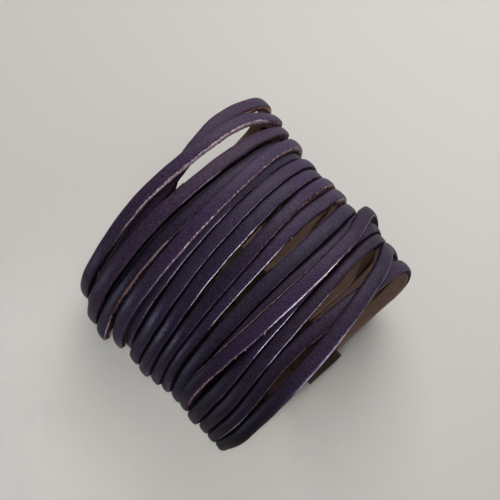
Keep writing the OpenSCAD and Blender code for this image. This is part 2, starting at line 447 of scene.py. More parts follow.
def front_edge(half, raw, roll, start):
    """Points of the top and a tighter shoulder that ends in the rim, and where the rim is, across and out."""
    rim, shoulder = half - RAW_SET_IN * raw, roll * (1 - 0.5 * raw)
    first = dome_tilt(rim - SLOPE_AT * shoulder, half)
    end = rim - shoulder * (math.sin(LAST_TILT) - math.sin(first))
    centre = dome(end, half) - shoulder * math.cos(first)
    points = []
    for i in range(1, TOP_STEPS):
        across = start + (end - start) * i / TOP_STEPS
        points.append((across, dome(across, half), GRAIN, 0.0, 0.0))
    for i in range(SHOULDER_STEPS + 1):
        f = i / SHOULDER_STEPS
        turn = first + (LAST_TILT - first) * f
        across, out = rim - shoulder * (math.sin(LAST_TILT) - math.sin(turn)), centre + shoulder * math.cos(turn)
        # Near the rim the side value rises a little, and the shader paints some shade from it.
        points.append((across, out, 0.6 * max(0, f - 0.5), min(1, max(0, f - 0.3) * 3), 0.0))
    return points, rim, centre + shoulder * math.cos(LAST_TILT)


def cut_face(rim, rim_out, foot, raw):
    """Points down the cut face, which is tucked under or leans out. The rubbing reaches further down a raw one."""
    points = []
    for i in range(1, CUT_STEPS + 1):
        f = i / CUT_STEPS
        across = rim + (foot - rim) * f - CUT_HOLLOW * math.sin(math.pi * f)
        out = rim_out + (-LEATHER + 0.08 - rim_out) * f
        points.append((across, out, CUT, max(0.0, 0.5 - 2 * f) * (1 - raw) + max(0.0, 1 - 2.8 * f) * raw, f))
    return points


def flesh_side(first, last):
    """Points back along the underside."""
    steps = [i / UNDER_STEPS for i in range(UNDER_STEPS + 1)]
    return [(first + (last - first) * f, -LEATHER, FLESH, 0.0, 1.0) for f in steps]


def section(width, raw, back_reach, front_reach, roll):
    """A lace's section as five rows of values. The feet of its edges reach out by so many mm, and roll is the
    front shoulder's."""
    half = width / 2
    foot = half + front_reach
    back, start = back_edge(half, back_reach)
    front, rim, rim_out = front_edge(half, raw, roll, start)
    under = flesh_side(foot - 0.1, 0.15 - half - back_reach)
    return np.array(back + front + cut_face(rim, rim_out, foot, raw) + under).T


print("points round a section:", section(3.3, 0.5, 0.2, -0.1, 0.5).shape[1])

# %% [markdown]
# ## Edges cut by eye
# Nothing on a lace that is cut by eye is quite straight. A few slow waves, each with its own length and start, make
# the width, the two edges and the thickness wander by less than a tenth of a millimetre. The waves are chosen by a
# seeded generator, so the same lace comes out each time the script runs.

# %% Slow waves along a lace
# Lengths and heights in mm.
WIDTH_WAVES = (17, 7, 3.1), (0.035, 0.03, 0.015)
PLACE_WAVES = (23, 9), (0.03, 0.025)
DIP_WAVES = (13, 5.3), (0.03, 0.02)


def waves(seed, lengths, heights):
    """A sum of slow waves along the lace, in mm."""
    rng = np.random.default_rng(seed)
    total = np.zeros(len(ALONG))
    for length, height in zip(lengths, heights):
        stretch = length * rng.uniform(0.8, 1.25)
        total += height * np.sin(2 * np.pi * (ALONG / stretch + rng.uniform()))
    return total


print("most that the waves move an edge in mm:", round(float(np.abs(waves(11, *WIDTH_WAVES)).max()) / 2, 3))

# %% Width, place and wear of every lace
# In mm: how much fuller every lace is than its table says, and how much more where it is pressed.
FULLER, PRESSED_FULLER = 0.06, 0.25


def within(start, end, soft=5):
    """1 between two angles round the cuff and 0 outside them, with ends that are soft over so many degrees."""
    rising, falling = (RING_ANGLES - start) / soft + 0.5, (end - RING_ANGLES) / soft + 0.5
    return np.clip(rising, 0, 1) * np.clip(falling, 0, 1)


def edges(lace):
    """The route of a lace at every ring, with the waves of its cut edges and with its wear."""
    route = {name: smooth(RING_ANGLES, values) for name, values in whole_route(lace).items()}
    # The laces press together at both sides of the cuff, so they are a little wider there.
    right_side, left_side = (RING_ANGLES + 15) / 32, (RING_ANGLES - 195) / 32
    route["pressed"] = np.minimum(1, np.exp(-(right_side**2)) + np.exp(-(left_side**2)))
    route["width"] = route["width"] + FULLER + PRESSED_FULLER * route["pressed"]
    route["width"] = route["width"] + waves(lace * 10 + 1, *WIDTH_WAVES)
    route["place"] = route["place"] + waves(lace * 10 + 2, *PLACE_WAVES)
    route["dip"] = waves(lace * 10 + 3, *DIP_WAVES)
    # Painted shade: the left side turns dark where it starts to turn under.
    route["darker"] = np.maximum(route["darker"], 0.95 * np.clip((RING_ANGLES - 186) / 6, 0, 1))
    # A painted highlight along the stretch that the glint table gives.
    start, end, more = GLINT.get(lace, (0, 0, 0))
    route["rim"] = route["rim"] + more * within(start, end)
    return route


ROUTES = {lace: edges(lace) for lace in LACES}
print("widest place in mm:", round(max(float(route["width"].max()) for route in ROUTES.values()), 2))

# %% How the feet of the edges spread
# -1 is toward the back and 1 toward the front.
BACK, FRONT = -1, 1
# Feet pressed out wider than the rest over the far side, in mm: how much further a gap they cross, and how much
# wider they are.
WIDE_FEET = {(3, BACK): (0.4, 0.3), (4, BACK): (0.4, 0.55), (12, FRONT): (0.6, 0.1), (14, BACK): (0.6, 0.1)}
# Two laces are at one level while they are less than this far above or below each other, in mm.
LEVEL = 0.8


def nearest_lace(lace, toward):
    """The gap to the next lace at every ring, and how far above this one that lace lies, in mm."""
    own = ROUTES[lace]
    nearest, above = np.full(len(RING_ANGLES), 9.0), np.zeros(len(RING_ANGLES))
    for other in LACES:
        if other != lace:
            them = ROUTES[other]
            gap = (them["place"] - own["place"]) * toward - (them["width"] + own["width"]) / 2
            here = (gap > -0.6) & (gap < nearest)
            above = np.where(here, them["lift"] - own["lift"], above)
            nearest = np.where(here, gap, nearest)
    return nearest, above


def reach(lace, toward):
    """How far the foot of one edge spreads toward the next lace, in mm."""
    own = ROUTES[lace]
    nearest, above = nearest_lace(lace, toward)
    # Two laces at one level share a narrow gap. A lace below another spreads right under it.
    level = np.clip(nearest, 0, 1) / 2 + 0.12
    slanted = 0.25 + 0.25 * np.abs(np.cos(np.radians(RING_ANGLES)))
    under = np.clip(nearest, 0, 1.4) + 0.3 + slanted * np.clip(above, 0, 2)
    spread = np.where(above > LEVEL, under, np.where(above < -LEVEL, 0.0, level))
    far_side = np.clip((RING_ANGLES - 105) / 20, 0, 1) * np.clip((200 - RING_ANGLES) / 15, 0, 1)
    further, wider = WIDE_FEET.get((lace, toward), (0, 0))
    spread = spread + wider * far_side
    # No foot crosses a wide gap, but an open raw face reaches further than a plain one.
    open_face = own["raw"] if toward == FRONT else 0
    limit = np.where(above > LEVEL, 0.8 + 0.8 * open_face, 0.9) + 0.5 * own["pressed"] + further * far_side
    spread = spread * np.clip((limit - nearest) / 0.3, 0, 1)
    # In the bar the feet are plain again.
    spread = spread * np.clip(np.minimum(RING_ANGLES + 79, 259 - RING_ANGLES) / 5, 0, 1)
    softening = np.array([1, 3, 5, 6, 5, 3, 1]) / 24
    return np.convolve(np.pad(spread, 3, mode="edge"), softening, mode="valid")


widest = max(float(reach(lace, toward).max()) for lace in LACES for toward in (BACK, FRONT))
print("widest spread under a neighbour in mm:", round(widest, 2))

# %% [markdown]
# ## One lace as a mesh
# The rings are placed along the route and joined with four-sided faces. Each point also carries what the leather
# shader needs to know about it: how far along and how far round the lace it lies, which side of the leather it is,
# how deep this lace took the dye, and how much shade is painted on it. They are stored as attributes on the mesh,
# so no unwrapping is needed.

# %% The rings of a lace
# What a ring gives the shader at each of its points.
RING_VALUES = ("along_mm", "round_mm", "side", "rim", "raw", "depth")


def leaned(across, out, degrees):
    """A section turned by its lean, about the middle of its thickness."""
    turn, out = math.radians(degrees), out + LEATHER / 2
    turned_across = across * math.cos(turn) - out * math.sin(turn)
    return turned_across, across * math.sin(turn) + out * math.cos(turn) - LEATHER / 2


def feet(lace):
    """How far the back and the front foot of a lace reach at every ring, in mm."""
    route, back, front = ROUTES[lace], reach(lace, BACK), reach(lace, FRONT)
    # A leaning lace needs a wider foot on its lower side. Over the crown the other foot is tucked in.
    tuck = np.clip(np.minimum(RING_ANGLES, 180 - RING_ANGLES) / 30, 0, 1)
    tucked = -0.06 - 0.16 * tuck * (1 - route["raw"])
    return back + 0.02 * np.maximum(route["lean"], 0), np.where(front > 0.05, front, tucked)


def lace_rings(lace):
    """Each ring's points in mm, and what each of them gives the shader."""
    route, middle, straight_out = ROUTES[lace], outline(RING_ANGLES), outward(RING_ANGLES)
    back_reach, front_reach = feet(lace)
    roll = ROLL.get(lace, USUAL_ROLL) + 0.25 * route["pressed"]
    rng = np.random.default_rng(lace)
    rings, given = [], []
    for i in range(len(RING_ANGLES)):
        width, raw, back_raw = route["width"][i], route["raw"][i], route["back_raw"][i]
        across, out, side, rim, depth = section(width, raw, back_reach[i], front_reach[i], roll[i])
        walked = np.concatenate([[0], np.cumsum(np.hypot(np.diff(across), np.diff(out)))])
        # The cut fibres make the face uneven, and the leather is not of one thickness.
        front_face = (side == CUT) * (across > 0)
        across = across + front_face * rng.normal(0, 0.012 + 0.03 * raw, len(across))
        out = out + (side < CUT) * route["dip"][i] * (across / width)
        turned_across, turned_out = leaned(across, out, route["lean"][i])
        off = route["lift"][i] + turned_out
        y, z = middle[i, 0] + straight_out[i, 0] * off, middle[i, 1] + straight_out[i, 1] * off
        rings.append(np.stack([route["place"][i] + turned_across, y, z], axis=1))
        # A raw line on the back edge moves the cut face up over the shoulder.
        opened = np.minimum(1, side ** (1 - 0.6 * back_raw) * (1 + 0.6 * back_raw))
        side = np.where((across < 0) & (side < CUT), opened, side)
        raw = np.where(across > 0, raw, 0.1 + 0.9 * back_raw)
        along = np.full(len(side), ALONG[i])
        given.append(np.stack([along, walked, side, rim * route["rim"][i], raw, depth]))
    return rings, given


print("points on a lace:", len(RING_ANGLES) * len(lace_rings(1)[0][0]))


# %% Join the rings
def joined(rings, in_ring):
    """Faces of a closed tube: four-sided ones between the rings, and one flat face at each end."""
    index = np.arange(rings * in_ring).reshape(rings, in_ring)
    a, b = index[:-1], np.roll(index[:-1], -1, axis=1)
    c, d = np.roll(index[1:], -1, axis=1), index[1:]
    quads = np.stack([a, d, c, b], axis=-1).reshape(-1, 4)
    return quads.tolist() + [index[0].tolist(), index[-1][::-1].tolist()]


def lace_mesh(lace):
    """A mesh of one lace, in metres, with its attributes."""
    rings, given = lace_rings(lace)
    in_ring = len(rings[0])
    points = np.concatenate(rings) / 1000
    values = dict(zip(RING_VALUES, np.concatenate(given, axis=1)))
    sheen = np.exp(-(((RING_ANGLES - POLISHED_AT) / POLISHED_OVER) ** 2))
    values["darker"] = np.repeat(ROUTES[lace]["darker"], in_ring)
    values["polished"] = np.repeat(POLISHED.get(lace, 0) * sheen, in_ring)
    whole = {"dye": DYE[lace], "piece": lace, "warm": WARM.get(lace, USUAL_WARM), "redder": REDDER.get(lace, 0)}
    values |= {name: np.full(len(points), value) for name, value in whole.items()}
    mesh = bpy.data.meshes.new(f"lace_{lace:02d}")
    mesh.from_pydata(points.tolist(), [], joined(len(rings), in_ring))
    for name, value in values.items():
        stored = mesh.attributes.new(name, "FLOAT", "POINT")
        stored.data.foreach_set("value", value.astype(np.float32))
    mesh.polygons.foreach_set("use_smooth", [True] * len(mesh.polygons))
    mesh.update()
    return mesh


print("faces on a small tube of 3 rings of 4 points:", len(joined(3, 4)))

# %% [markdown]
# ## Materials: helpers
# Colours are written as the sRGB hex values that a colour picker shows, and one function turns them to the linear
# values that the renderer works in. One more function adds a shader node with its settings and links. It gives back
# the node's output, so that a material reads from its first pattern down to the shader that takes them all in.
#
# Three kinds of node do most of the work. Math combines two numbers. Mix lays one colour over another by a factor.
# Map Range turns a noise value between its second and third input to one between its last two.

# %% Colour and node helpers
def linear(hex_code):
    """A linear RGBA colour from an sRGB hex code."""
    parts = [int(hex_code[i : i + 2], 16) / 255 for i in (1, 3, 5)]
    return [c / 12.92 if c <= 0.04045 else ((c + 0.055) / 1.055) ** 2.4 for c in parts] + [1.0]


def node(tree, kind, *inputs, output=None, **settings):
    """Add a node and give back one output, or else the first that it shows. Inputs are values, hex colours or other
    outputs, in the order in which the node shows them, or by name in one dictionary."""
    made = tree.nodes.new("ShaderNode" + kind)
    for name, value in settings.items():
        setattr(made, name, value)
    if inputs and isinstance(inputs[0], dict):
        filled = [(made.inputs[name], value) for name, value in inputs[0].items()]
    else:
        filled = zip([socket for socket in made.inputs if socket.enabled], inputs)
    for socket, value in filled:
        if isinstance(value, bpy.types.NodeSocket):
            tree.links.new(value, socket)
        else:
            socket.default_value = linear(value) if isinstance(value, str) else value
    return made.outputs[output] if output else next((socket for socket in made.outputs if socket.enabled), None)


def new_material(name):
    """An empty material, and the function that adds nodes to it."""
    material = bpy.data.materials.new(name)
    material.use_nodes = True
    material.node_tree.nodes.clear()
    return material, partial(node, material.node_tree)


print("a mid grey is", round(linear("#808080")[0], 3), "in linear values")

# %% [markdown]
# ## Dyed grain leather, cut raw
# The hide is chrome tanned and dyed aubergine, then lightly finished, which leaves a satin sheen and a fine pebbled
# grain of about 0.3 mm. The dye has only soaked part of the way in, so the cut faces show the paler pink-tan core
# with loose fibres, and the finish has rubbed off along the edges, where a painted highlight lies on it too. The
# flesh side is a dull suede.
#
# All three are one material, because on the real lace one runs into the other: the side attribute picks between
# them, and noise breaks up the line where they meet. Each part of it has a cell of its own, and the last one puts
# them together.

# %% What the leather is made from
# Noise patterns on the leather. A stretch over 1 packs them closer along the lace, round it, or both.
# name: how many to a mm, detail, roughness, stretch along and round the lace, distortion
PATTERNS = {
    # Blotches of about 6 and 1.3 mm where the dye took more or less, and specks of 0.3 mm.
    "patches": (0.16, 4, 0.55, (1, 1, 1), 0),
    "mottle": (0.8, 4, 0.55, (1, 1, 1), 0),
    "fine": (3.2, 3, 0.6, (1, 1, 1), 0),
    # Wrinkles a millimetre apart that lie across the lace where it bends.
    "wrinkle": (0.9, 3, 0.5, (1.3, 0.25, 1), 0.35),
    # Tufts and single ends of fibre, about 0.45 mm wide, and stretches of 7 mm where the rim's wear and painted
    # highlight are stronger or weaker.
    "tufts": (2.2, 3, 0.6, (1, 1, 1), 0),
    "ends": (2.3, 2, 0.6, (1, 1, 1), 0),
    "stretches": (0.14, 2, 0.5, (1, 0.2, 1), 0),
    # Bundles of fibre 1.4 mm long and 0.2 mm thick, which run along the lace.
    "fibres": (0.9, 5, 0.65, (0.8, 6.0, 1), 0.6),
}
# Pebbles to a mm. The real cells are about 0.3 mm; they are drawn at 0.4 mm so that they show at this size.
PEBBLES = 2.5
# What the mesh stores at each point.
STORED = ("side", "rim", "raw", "depth", "darker", "polished", "dye", "warm", "redder")
# Keeps the patterns of two laces apart.
NEXT_LACE = 13.7


def leather_values(add):
    """Every pattern and stored value that the leather reads, by name."""
    along, around, piece = (
        add("Attribute", output="Fac", attribute_name=name) for name in ("along_mm", "round_mm", "piece")
    )
    # A place on the lace in mm, with the lace's number as the third axis.
    spot = add("CombineXYZ", along, around, add("Math", piece, NEXT_LACE, operation="MULTIPLY"))
    read = {"pebble": add("TexVoronoi", {"Vector": spot, "Scale": PEBBLES, "Randomness": 0.95}, feature="F1")}
    for name, (to_a_mm, detail, roughness, stretch, distortion) in PATTERNS.items():
        at = add("VectorMath", spot, stretch, operation="MULTIPLY")
        look = {"Scale": to_a_mm, "Detail": detail, "Roughness": roughness, "Distortion": distortion}
        read[name] = add("TexNoise", {"Vector": at} | look)
    for name in STORED:
        read[name] = add("Attribute", output="Fac", attribute_name=name)
    return SimpleNamespace(**read)


print("patterns in the leather:", len(PATTERNS) + 1)


# %% The dyed grain side
def grain_side(add, at):
    """The grain side: dye in layers from the hide's own tone, then painted shade, darkest on the back edge."""
    colour = add("Mix", at.dye, "#272735", "#321D3B", data_type="RGBA")
    colour = add("Mix", at.redder, colour, "#3A2029", data_type="RGBA")
    for pattern, low, high, most, tone in (
        (at.patches, 0.3, 0.7, 0.5, "#332944"),
        (at.mottle, 0.35, 0.7, 0.45, "#1E1627"),
        (at.pebble, 0.3, 0.8, 0.5, "#120D17"),
        (at.fine, 0.42, 0.66, 0.52, "#4F435D"),
    ):
        amount = add("MapRange", pattern, low, high, 0.0, most)
        colour = add("Mix", amount, colour, tone, data_type="RGBA")
    # Painted shade and the lace's tone. Not clamped, so that a value under 0 takes the black out and paints the
    # leather paler.
    colour = add("Mix", at.darker, colour, "#0B070E", data_type="RGBA", clamp_factor=False)
    # Painted shade darkens the rolled edges, most of all the back edge, which the neighbour's raised front edge
    # shades.
    painted_edge_shade = add("MapRange", at.side, 0.08, 0.5, 0.0, 0.85)
    return add("Mix", painted_edge_shade, colour, "#0B070E", data_type="RGBA")


# %% The burnished rim and its painted highlight
def rim_wear_and_highlight(add, at):
    """Wear and painted highlight at each place on the rim, and how open the raw face under it is."""
    wear_and_highlight = at.rim
    for pattern, low, high, least in ((at.tufts, 0.35, 0.6, 0.35), (at.stretches, 0.35, 0.62, 0.45)):
        wear_and_highlight = add("Math", wear_and_highlight, add("MapRange", pattern, low, high, least, 1.0), operation="MULTIPLY")
    # Over an open raw face the rim is a row of single fibres, so there it breaks up into specks.
    opened = add("Math", at.raw, 1.5, operation="MULTIPLY", use_clamp=True)
    between = add("MapRange", at.ends, 0.46, 0.56, 0.95, 0.0)
    missed = add("Math", between, add("Math", opened, 2.0, operation="POWER"), operation="MULTIPLY")
    wear_and_highlight = add("Math", wear_and_highlight, add("Math", 1.0, missed, operation="SUBTRACT"), operation="MULTIPLY")
    return wear_and_highlight, opened


# %% The cut face
def cut_side(add, at):
    """The cut face: tucked ones nearly black with dye and painted shade, open ones pink-tan."""
    shaded = add("Mix", at.warm, "#5C464B", "#4A2A22", data_type="RGBA")
    core = add("Mix", at.warm, "#C4A6AC", "#8A5F52", data_type="RGBA")
    tips = add("Mix", at.warm, "#CBB8BB", "#C08C7A", data_type="RGBA")
    pale = add("Mix", add("MapRange", at.fibres, 0.4, 0.62, 0.0, 1.0), shaded, core, data_type="RGBA")
    pale = add("Mix", add("MapRange", at.tufts, 0.5, 0.62, 0.0, 0.7), pale, tips, data_type="RGBA")
    # The face gets darker toward its foot, in streaks along the fibres, and less so on a raw face.
    foot_darkening = add("Math", at.fibres, 1.6, at.depth, operation="MULTIPLY_ADD")
    foot_darkening = add("Math", at.raw, -0.9, foot_darkening, operation="MULTIPLY_ADD")
    pale = add("Mix", add("MapRange", foot_darkening, 0.37, 0.95, 0.0, 0.9), pale, "#2A1C22", data_type="RGBA")
    # A tucked face is nearly black: partly dye, partly painted shade of the deep groove between laces.
    soaked_and_shaded = add("Mix", at.fibres, "#120C13", "#2A1D27", data_type="RGBA")
    # At a few places along it, noise opens the face and shows it pale.
    openness = add("Math", at.patches, 0.8, at.raw, operation="MULTIPLY_ADD")
    openness = add("Math", at.tufts, 1.1, openness, operation="MULTIPLY_ADD")
    return add("Mix", add("MapRange", openness, 1.25, 1.7, 0.0, 1.0), soaked_and_shaded, pale, data_type="RGBA")


# %% The relief
def leather_relief(add, at, is_cut):
    """Height in mm: pebbles, wrinkles and pores on the grain side, loose fibre on the cut faces."""
    grain = add("Math", at.pebble, -0.04, 0.04, operation="MULTIPLY_ADD")
    grain = add("Math", at.wrinkle, 0.03, grain, operation="MULTIPLY_ADD")
    grain = add("Math", at.fine, 0.026, grain, operation="MULTIPLY_ADD")
    loose = add("Math", at.fibres, 0.16, operation="MULTIPLY")
    loose = add("Math", at.tufts, 0.12, loose, operation="MULTIPLY_ADD")
    height = add("Mix", is_cut, grain, loose)
    # The distance is in metres, so one unit of height is a millimetre.
    return add("Bump", {"Height": height, "Strength": 1.0, "Distance": 0.001})


# %% The whole leather
# The finish is thin and matted, so it mirrors far less than bare leather of this IOR would.
LEATHER_IOR, LEATHER_SPECULAR = 1.45, 0.09
# Roughness: the finish runs between the first two with the mottling. The rims and the polished side are smoother.
SATIN = (0.4, 0.5)
RUBBED_ROUGHNESS, POLISHED_ROUGHNESS, CUT_ROUGHNESS, SUEDE_ROUGHNESS = 0.34, 0.28, 0.9, 0.95


def raw_cut_leather():
    """Aubergine grain leather with raw cut edges and a suede flesh side."""
    material, add = new_material("aubergine_grain_leather_cut_raw")
    at = leather_values(add)
    # Ragged lines between grain, cut face and flesh side.
    ragged = add("Math", at.tufts, 0.7, at.side, operation="MULTIPLY_ADD")
    is_cut = add("MapRange", ragged, 1.07, 1.25, 0.0, 1.0)
    is_flesh = add("MapRange", at.side, 1.3, 1.7, 0.0, 1.0)
    wear_and_highlight, opened = rim_wear_and_highlight(add, at)
    # Where the rim shows its wear and painted highlight, and where it is almost white.
    bright_wear_and_highlight = add("MapRange", wear_and_highlight, 0.12, 0.85, 0.0, 1.0)
    white_wear_and_highlight = add("MapRange", wear_and_highlight, 0.8, 1.36, 0.0, 1.0)

    # Over a raw face the rim shows the hide's core. Elsewhere the finish is rubbed to a greyer lilac, with a painted
    # highlight in it. The whitest is a painted highlight over the worn finish, pink over a warm raw core.
    rim_core = add("Mix", at.warm, "#BCA2AA", "#B06E6C", data_type="RGBA")
    rim_wear_and_highlight_colour = add("Mix", opened, "#A79FB2", rim_core, data_type="RGBA")
    open_and_warm = add("Math", opened, at.warm, operation="MULTIPLY")
    white_wear_and_highlight_colour = add("Mix", open_and_warm, "#EDE8F2", "#E59A98", data_type="RGBA")
    # Painted shade and the lace's tone darken the flesh side, most of all where it turns under near the bar.
    flesh = add("Mix", at.fine, "#6E564B", "#A08270", data_type="RGBA")
    flesh = add("Mix", at.darker, flesh, "#30201B", data_type="RGBA")
    colour = add("Mix", is_cut, grain_side(add, at), cut_side(add, at), data_type="RGBA")
    for amount, over in ((bright_wear_and_highlight, rim_wear_and_highlight_colour), (white_wear_and_highlight, white_wear_and_highlight_colour), (is_flesh, flesh)):
        colour = add("Mix", amount, colour, over, data_type="RGBA")

    uneven = add("Math", at.pebble, 0.25, at.mottle, operation="MULTIPLY_ADD")
    rough = add("MapRange", uneven, 0.3, 0.8, *SATIN)
    for amount, over in (
        (bright_wear_and_highlight, RUBBED_ROUGHNESS),
        (at.polished, POLISHED_ROUGHNESS),
        (is_cut, CUT_ROUGHNESS),
        (is_flesh, SUEDE_ROUGHNESS),
    ):
        rough = add("Mix", amount, rough, over)

    look = {"Base Color": colour, "Roughness": rough, "Normal": leather_relief(add, at, is_cut)}
    look |= {"IOR": LEATHER_IOR, "Specular IOR Level": LEATHER_SPECULAR}
    add("OutputMaterial", {"Surface": add("BsdfPrincipled", look)})
    return material


leather = raw_cut_leather()
print("material:", leather.name, "nodes:", len(leather.node_tree.nodes))

# %% [markdown]
# ## Place the laces
# Every lace is its own object and stands for one solid of the construction model. The hide is not the same all
# over, so neighbours differ a little in tone.

# %% Make all the laces
def placed(name, data):
    """A new object with this data, put in the scene."""
    thing = bpy.data.objects.new(name, data)
    bpy.context.collection.objects.link(thing)
    return thing


for lace in LACES:
    mesh = lace_mesh(lace)
    mesh.materials.append(leather)
    strap = placed(f"leather_lace_{lace:02d}", mesh)
    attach(strap, "root")
    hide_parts(f"lace_{lace:02d}")
print("laces made:", len(LACES), "faces each:", len(mesh.polygons))

# %% [markdown]
# ## Loose fibres
# Where the blade pulled the fibres out of the core instead of cutting them, short ends stand up from the raw edges,
# and here and there a small tuft of them catches the light. A hair system could make these, but a few hundred thin
# tapered strands in one mesh are lighter, export as they are, and can be put just where the edges are raw.

# %% One strand
# A strand is three rings of three points, 0 to 8, and a tip, 9. Its faces are the sides, the tip and the foot.
STRAND_POINTS = 10
STRAND_FACES = [(k + t, k + (t + 1) % 3, k + 3 + (t + 1) % 3, k + 3 + t) for k in (0, 3) for t in range(3)]
STRAND_FACES += [(6 + t, 6 + (t + 1) % 3, 9) for t in range(3)] + [(2, 1, 0)]


def strand(rng, start, outward_way, along_way, length, thickness):
    """Points of one thin tapered strand that bends along the lace as it leaves the edge, in mm."""
    way = outward_way * rng.uniform(0.5, 1.0) + along_way * rng.normal(0, 0.8) + rng.normal(0, 0.25, 3)
    way /= np.linalg.norm(way)
    bend = along_way * rng.normal(0, 0.7) + rng.normal(0, 0.3, 3)
    side_way = np.cross(way, rng.normal(size=3))
    side_way /= np.linalg.norm(side_way)
    third = np.cross(way, side_way)
    points = []
    for k in range(3):
        f = k / 3
        middle = start + (way * (f - 0.15) + bend * f * f) * length
        for turn in (0, 2.094, 4.189):
            around = side_way * math.cos(turn) + third * math.sin(turn)
            points.append(middle + around * thickness / 2 * (1 - 0.7 * f))
    return points + [start + (way * 0.85 + bend) * length]


print("faces on a strand:", len(STRAND_FACES))

# %% Where the strands are
# Tufts that catch the light.
# lace, angle round the cuff, strands in the tuft
TUFTS = [
    (13, 96, 9), (13, 63, 6), (13, 70, 5), (13, 106, 6), (13, 111, 6), (13, 23, 9), (9, 33, 8), (5, 40, 7),
    (6, 113, 6), (13, 47, 7), (13, 56, 6), (13, 119, 6), (10, 62, 5), (9, 24, 6), (8, 28, 5), (4, 128, 6),
]
# In mm, from and to: single strands are finer than those in a tuft.
SINGLE_LENGTH, SINGLE_THICKNESS = (0.15, 0.42), (0.035, 0.06)
TUFT_LENGTH, TUFT_THICKNESS = (0.22, 0.4), (0.13, 0.2)
# Which point of a ring is the rim: it comes after the side, the two shoulders and the top.
RIM_POINT = SIDE_STEPS + (SHOULDER_STEPS + 1) + (TOP_STEPS - 1) + SHOULDER_STEPS
# A ring where the edge is this raw has single strands, and none lie further down than these angles.
RAW_ENOUGH, LOWEST_RIGHT, LOWEST_LEFT = 0.25, -8, 188


def strand_places(lace, rng):
    """Ring, point of the ring, length and thickness of every strand on a lace."""
    places = []
    for i in np.flatnonzero((RING_ANGLES > LOWEST_RIGHT) & (RING_ANGLES < LOWEST_LEFT)):
        for _ in range(rng.poisson(1.6 * max(0, ROUTES[lace]["raw"][i] - RAW_ENOUGH) ** 1.3)):
            point = RIM_POINT + int(rng.integers(-1, 4))
            places.append((i, point, rng.uniform(*SINGLE_LENGTH), rng.uniform(*SINGLE_THICKNESS)))
    for other, angle, count in TUFTS:
        if other == lace:
            i = int(np.argmin(np.abs(RING_ANGLES - angle)))
            for _ in range(count):
                point = RIM_POINT + int(rng.integers(-1, 2))
                places.append((i, point, rng.uniform(*TUFT_LENGTH), rng.uniform(*TUFT_THICKNESS)))
    return places


print("tufts:", len(TUFTS), "rim is point", RIM_POINT)


# %% Grow the strands on one lace
def read_points(mesh, what):
    """The places ("co") or normals of a lace's points, by ring."""
    values = np.zeros(len(mesh.vertices) * 3)
    mesh.vertices.foreach_get(what, values)
    return values.reshape(len(RING_ANGLES), -1, 3)


def grown_strands(lace):
    """The strands of one lace: their points in mm, and how warm their colour is."""
    mesh = bpy.data.objects[f"leather_lace_{lace:02d}"].data
    at, normal = read_points(mesh, "co"), read_points(mesh, "normal")
    rng = np.random.default_rng(900 + lace)
    strands = []
    for i, j, length, thickness in strand_places(lace, rng):
        along_way = at[i + 1, j] - at[i - 1, j]
        along_way /= np.linalg.norm(along_way)
        points = strand(rng, at[i, j] * 1000, normal[i, j], along_way, length, thickness)
        in_tuft = thickness > SINGLE_THICKNESS[1]
        strands.append((points, 1.0 if in_tuft else WARM.get(lace, USUAL_WARM)))
    return strands


STRANDS = [one for lace in LACES for one in grown_strands(lace)]
print("strands:", len(STRANDS))


# %% The fibre material and mesh
def loose_fibre():
    """Hide fibre: dull and soft, pink-tan where the dye has not reached it."""
    material, add = new_material("loose_hide_fibre")
    # Dye has reached some fibres and not others, over about half a millimetre.
    dyed = add("TexNoise", {"Vector": add("TexCoord", output="Object"), "Scale": 1900.0, "Detail": 2.0})
    warm = add("Attribute", output="Fac", attribute_name="warm")
    core = add("Mix", warm, "#C9B4B8", "#CF9C84", data_type="RGBA")
    amount = add("MapRange", dyed, 0.38, 0.6, 0.75, 0.0)
    colour = add("Mix", amount, core, "#4A3038", data_type="RGBA")
    look = {"Base Color": colour, "Roughness": 0.85, "Specular IOR Level": 0.2}
    add("OutputMaterial", {"Surface": add("BsdfPrincipled", look)})
    return material


points = np.concatenate([one[0] for one in STRANDS]) / 1000
faces = [tuple(STRAND_POINTS * n + v for v in face) for n in range(len(STRANDS)) for face in STRAND_FACES]
fibre_mesh = bpy.data.meshes.new("loose_fibres")
fibre_mesh.from_pydata(points.tolist(), [], faces)
warmth = np.repeat([one[1] for one in STRANDS], STRAND_POINTS).astype(np.float32)
fibre_mesh.attributes.new("warm", "FLOAT", "POINT").data.foreach_set("value", warmth)
fibre_mesh.materials.append(loose_fibre())
fibres = placed("loose_fibres_on_raw_edges", fibre_mesh)
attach(fibres, "root")
print("faces on the fibres:", len(faces))

# %% [markdown]
# ## The bar
# The bar is flat steel with slots for the lace ends, brushed along its length and plated in dark bronze. The
# brushing leaves faint parallel lines, which blur the reflections across them, and the plating is thinner and
# brighter along the lines. Its solid is right as it is, so it only gets a small bevel and the finish.

# %% Bronze plated steel bar
# To a metre: the brushed lines are about 14 mm long and 0.24 mm apart. Real ones are finer and would not show. The
# tarnish lies in patches of about 6 mm.
BRUSHED_LINES = (70, 4200, 4200)
TARNISH = 160.0


